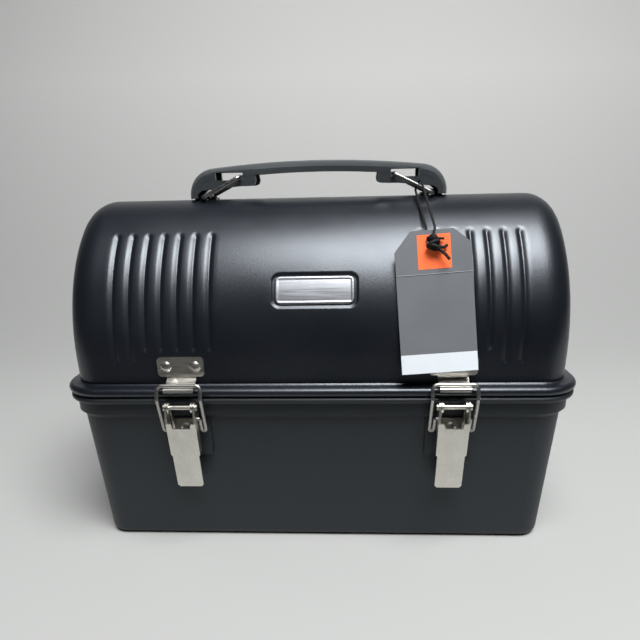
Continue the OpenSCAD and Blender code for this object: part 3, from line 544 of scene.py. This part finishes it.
BEAD_R, BEAD_Z, BEAD_STEP = 3.0, 114.5, 22.5
section = [(8.2, 118.6), (7.5, 118.6), (7.3, 117.9), (6.7, 117.5)]
section += [(BEAD_R - BEAD_R * math.sin(a), BEAD_Z + BEAD_R * math.cos(a))
            for a in [math.radians(BEAD_STEP * k) for k in range(16)]]
section += [(5.0, 116.7), (8.2, 116.7)]
bead_base = len(verts)
around = len(round_plan(0))
for inset, z in section:
    verts += [(x, y, z) for x, y in round_plan(inset)]
for j in range(len(section)):
    for i in range(around):
        k, n = (j + 1) % len(section), (i + 1) % around
        faces.append(tuple(bead_base + r * around + c for r, c in ((j, i), (j, n), (k, n), (k, i))))
lid_sheet = mesh_object("lid_sheet", verts, faces, lid_paint)
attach(lid_sheet, "lid")
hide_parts("lid_shell")
print("lid sheet:", len(lid_sheet.data.vertices), "points")

# %% [markdown]
# The plate is a thin plain metal slip, rolled to the lid's curve so that it lies flat in its
# bed. It could be a bent box, but a small grid on the lid's own profile fits the bed exactly, and
# it can carry a raised border.

# %% Plate of the lid
PLATE_X, PLATE_H, PLATE_R, PLATE_T = 24.5, 8.8, 4.0, 0.85  # half width, half height, corner, gauge
FLAT_X, FLAT_H = 20, 4                # inside these the plate needs few points
BORDER_FROM, BORDER_TO, BORDER_RISE = 0.4, 1.6, 0.25
plate_x = spread((-PLATE_X, -FLAT_X, 0.5), (-FLAT_X, FLAT_X, 4), (FLAT_X, PLATE_X, 0.5))
plate_s = spread((-PLATE_H, -FLAT_H, 0.5), (-FLAT_H, FLAT_H, 2), (FLAT_H, PLATE_H, 0.5))

def plate_point(x, ds, lift):
    """The corner circles pull the grid's edge in, so the outline is round at its corners."""
    flat_x, flat_h = PLATE_X - PLATE_R, PLATE_H - PLATE_R
    if abs(x) > flat_x and abs(ds) > flat_h:
        u, v = (abs(x) - flat_x) / PLATE_R, (abs(ds) - flat_h) / PLATE_R
        u, v = u * math.sqrt(1 - v * v / 2), v * math.sqrt(1 - u * u / 2)
        x, ds = math.copysign(flat_x + u * PLATE_R, x), math.copysign(flat_h + v * PLATE_R, ds)
    y, z, ny, nz = profile(BED_S + ds)
    return (x, y + ny * lift, z + nz * lift)

def border(x, ds):
    """Rise of the raised line that follows the plate's edge."""
    edge = min(PLATE_X - abs(x), PLATE_H - abs(ds))
    return BORDER_RISE if BORDER_FROM < edge < BORDER_TO else 0.0

def plate_layer(top):
    """The points of the plate's face or of its back, row by row."""
    return [plate_point(x, ds, -BED_DEEP + (PLATE_T + border(x, ds) if top else 0))
            for ds in plate_s for x in plate_x]

plate_wide, plate_high = len(plate_x), len(plate_s)
verts = plate_layer(True) + plate_layer(False)
faces = []
for base in (0, plate_wide * plate_high):
    for j in range(plate_high - 1):
        for i in range(plate_wide - 1):
            a = base + j * plate_wide + i
            faces.append((a, a + 1, a + 1 + plate_wide, a + plate_wide))
ring = list(range(plate_wide)) + [j * plate_wide + plate_wide - 1 for j in range(1, plate_high)]
ring += [(plate_high - 1) * plate_wide + i for i in reversed(range(plate_wide - 1))]
ring += [j * plate_wide for j in reversed(range(1, plate_high - 1))]
step = plate_wide * plate_high
faces += [(a, b, b + step, a + step) for a, b in zip(ring, ring[1:] + ring[:1])]
plate = mesh_object("lid_plate", verts, faces, plate_metal)
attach(plate, "lid")
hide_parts("name_plate")
print("plate:", len(plate.data.vertices), "points")

# %% [markdown]
# The tag is plain card. A flap is folded over its top, an orange block lies on the flap round
# the hole and a white strip runs along the foot. Colours could be painted by a mask, but a thin
# skin keeps a crisp edge from any side, so each is one: the flap a third of a millimetre thick
# and the two colours less than a tenth.

# %% Colour blocks of the tag
TAG_FOOT = Vector((0.0762, -0.0818, 0.1279))
TAG_LEAN, TAG_SPIN = 16, 3.6
TAG_TURN = (Matrix.Rotation(math.radians(90 - TAG_LEAN), 4, "X")
            @ Matrix.Rotation(math.radians(TAG_SPIN), 4, "Z"))
TAG_T, FLAP_T, INK_T = 0.001, 0.00035, 0.00008
TAG_HOLE, HOLE_R, HOLE_STEP = (-0.0016, 0.0798), 0.0019, 15

def tag_skin(name, outline, low, high, material, hole=False):
    """A thin layer on the front of the tag between two heights over its back, with the tag's hole."""
    loops = [list(outline)]
    if hole:
        turn = [math.radians(HOLE_STEP * k) for k in range(360 // HOLE_STEP)]
        loops.append([(TAG_HOLE[0] + HOLE_R * math.cos(a), TAG_HOLE[1] + HOLE_R * math.sin(a))
                      for a in turn])
    flat = [Vector((x, y, 0)) for loop in loops for x, y in loop]
    caps = tessellate_polygon([[Vector((x, y, 0)) for x, y in loop] for loop in loops])
    n = len(flat)
    verts = [(v.x, v.y, low) for v in flat] + [(v.x, v.y, high) for v in flat]
    faces = [tuple(c) for c in caps] + [tuple(i + n for i in c) for c in caps]
    start = 0
    for loop in loops:
        m = len(loop)
        faces += [(start + i, start + (i + 1) % m, start + (i + 1) % m + n, start + i + n) for i in range(m)]
        start += m
    obj = mesh_object(name, verts, faces, material, scale=1)
    for face in obj.data.polygons:
        face.use_smooth = False
    obj.data.transform(Matrix.Translation(TAG_FOOT) @ TAG_TURN)
    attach(obj, "tag")
    return obj

def block(x0, y0, x1, y1):
    """Outline of a plain rectangle."""
    return [(x0, y0), (x1, y0), (x1, y1), (x0, y1)]

FLAP = [(-0.02295, 0.0601), (0.02295, 0.0601), (0.02295, 0.0769), (0.0129, 0.0859),
        (-0.0129, 0.0859), (-0.02295, 0.0739)]
flap = tag_skin("tag_flap", FLAP, TAG_T, TAG_T + FLAP_T, tag_grey, hole=True)
fold = tag_skin("tag_fold", block(-0.0229, 0.0597, 0.0229, 0.0602),
                TAG_T, TAG_T + FLAP_T * 0.8, tag_fold)
orange_block = tag_skin("tag_orange_block", block(-0.0093, 0.0627, 0.0106, 0.0832),
                        TAG_T + FLAP_T, TAG_T + FLAP_T + INK_T, tag_orange, hole=True)
white_strip = tag_skin("tag_white_strip", block(-0.0229, 0.0002, 0.0229, 0.0118),
                       TAG_T, TAG_T + INK_T, tag_white)
print("tag skins:", flap.name, fold.name, orange_block.name, white_strip.name)

# %% [markdown]
# The floor is pale paper that sweeps up behind the box. Black paint shows its form only by what
# it reflects, and here it would reflect that paper, so a black flag lies in front, out of sight
# of the camera and seen in reflections alone.

# %% Floor and flag
# The paper's colour grades from painted shade on the floor to painted light up the backdrop, though it is
# one paper.
PAPER_WITH_PAINTED_SHADE, PAPER_WITH_PAINTED_LIGHT = (0.35, 0.355, 0.35), (0.58, 0.585, 0.575)
PAINTED_LIGHT_RISE = 0.5
FLAG_X, FLAG_FRONT, FLAG_BACK, FLAG_Z = 2, -3, -0.27, 0.002

def plain(name, colour, rough):
    """A material of one colour, for the studio alone."""
    m = bpy.data.materials.new(name)
    m.use_nodes = True
    skin = m.node_tree.nodes["Principled BSDF"]
    skin.inputs["Base Color"].default_value = (*colour, 1)
    skin.inputs["Roughness"].default_value = rough
    return m

def stage_sheet(name, corners, material):
    """One flat sheet of the studio, which is not part of the object."""
    data = bpy.data.meshes.new(name)
    data.from_pydata(corners, [], [tuple(range(len(corners)))])
    data.materials.append(material)
    obj = bpy.data.objects.new(name, data)
    bpy.context.scene.collection.objects.link(obj)
    return obj

def paper():
    """Pale studio paper, with painted shade on the floor and painted light where it turns up behind the box.
    """
    m = plain("studio_paper_painted_light", PAPER_WITH_PAINTED_SHADE, 0.85)
    t = m.node_tree
    place = t.nodes.new("ShaderNodeTexCoord")
    split = t.nodes.new("ShaderNodeSeparateXYZ")
    rise = t.nodes.new("ShaderNodeMapRange")
    rise.inputs["From Min"].default_value = 0.0
    rise.inputs["From Max"].default_value = PAINTED_LIGHT_RISE
    mix = t.nodes.new("ShaderNodeMix")
    mix.data_type = "RGBA"
    mix.inputs["A"].default_value = (*PAPER_WITH_PAINTED_SHADE, 1)
    mix.inputs["B"].default_value = (*PAPER_WITH_PAINTED_LIGHT, 1)
    link(t, place.outputs["Object"], split.inputs["Vector"])
    link(t, split.outputs["Z"], rise.inputs["Value"])
    link(t, rise.outputs["Result"], mix.inputs["Factor"])
    link(t, mix.outputs["Result"], t.nodes["Principled BSDF"].inputs["Base Color"])
    return m

SWEEP_Y, SWEEP_R, SWEEP_TOP = 0.35, 0.9, 3.0
SWEEP_X, SWEEP_FRONT, SWEEP_STEP = 4.0, -4.0, 3
line = [(SWEEP_FRONT, 0.0), (SWEEP_Y, 0.0)]
line += [(SWEEP_Y + SWEEP_R * math.sin(a), SWEEP_R * (1 - math.cos(a)))
         for a in [math.radians(SWEEP_STEP * k) for k in range(1, 90 // SWEEP_STEP + 1)]]
line.append((SWEEP_Y + SWEEP_R, SWEEP_TOP))
sweep_verts = [(x, y, z) for y, z in line for x in (-SWEEP_X, SWEEP_X)]
sweep_faces = [(2 * i, 2 * i + 1, 2 * i + 3, 2 * i + 2) for i in range(len(line) - 1)]
floor = mesh_object("floor", sweep_verts, sweep_faces, paper(), scale=1)
flag = stage_sheet("black_flag", [(-FLAG_X, FLAG_FRONT, FLAG_Z), (FLAG_X, FLAG_FRONT, FLAG_Z),
                                  (FLAG_X, FLAG_BACK, FLAG_Z), (-FLAG_X, FLAG_BACK, FLAG_Z)],
                   plain("flag_black", (0.01, 0.01, 0.01), 0.9))
flag.visible_camera = flag.visible_shadow = flag.visible_diffuse = False
print("floor:", len(sweep_faces), "strips, flag:", flag.name)

# %% [markdown]
# One broad soft lamp stands high in front, and its reflection draws the dome. A weak lamp on each
# side only lifts the shadows, so those two don't show in reflections.

# %% Lamps
def soft_lamp(name, place, aim, size, power, mirrored=True):
    """A rectangular area lamp at a place, turned towards a point."""
    data = bpy.data.lights.new(name, "AREA")
    data.shape = "RECTANGLE"
    data.size, data.size_y = size
    data.energy = power
    lamp = bpy.data.objects.new(name, data)
    lamp.location = place
    lamp.rotation_euler = (Vector(aim) - Vector(place)).to_track_quat("-Z", "Y").to_euler()
    lamp.visible_glossy = mirrored
    bpy.context.scene.collection.objects.link(lamp)
    return lamp

soft_lamp("lamp_top", (0.26, -0.54, 1.45), (0, 0, 0.15), (0.90, 0.72), 46)
soft_lamp("lamp_left", (-1.2, 0.3, 1.0), (0, 0, 0.12), (0.5, 0.7), 2, mirrored=False)
soft_lamp("lamp_right", (1.3, -0.2, 1.1), (0, 0, 0.12), (0.5, 0.7), 2, mirrored=False)
world = bpy.data.worlds.new("studio")
world.use_nodes = True
world.node_tree.nodes["Background"].inputs["Color"].default_value = (0.9, 0.92, 0.95, 1)
world.node_tree.nodes["Background"].inputs["Strength"].default_value = 0.045
bpy.context.scene.world = world
bpy.context.scene.view_settings.view_transform = "Standard"
print("lamps:", len(bpy.data.lights))
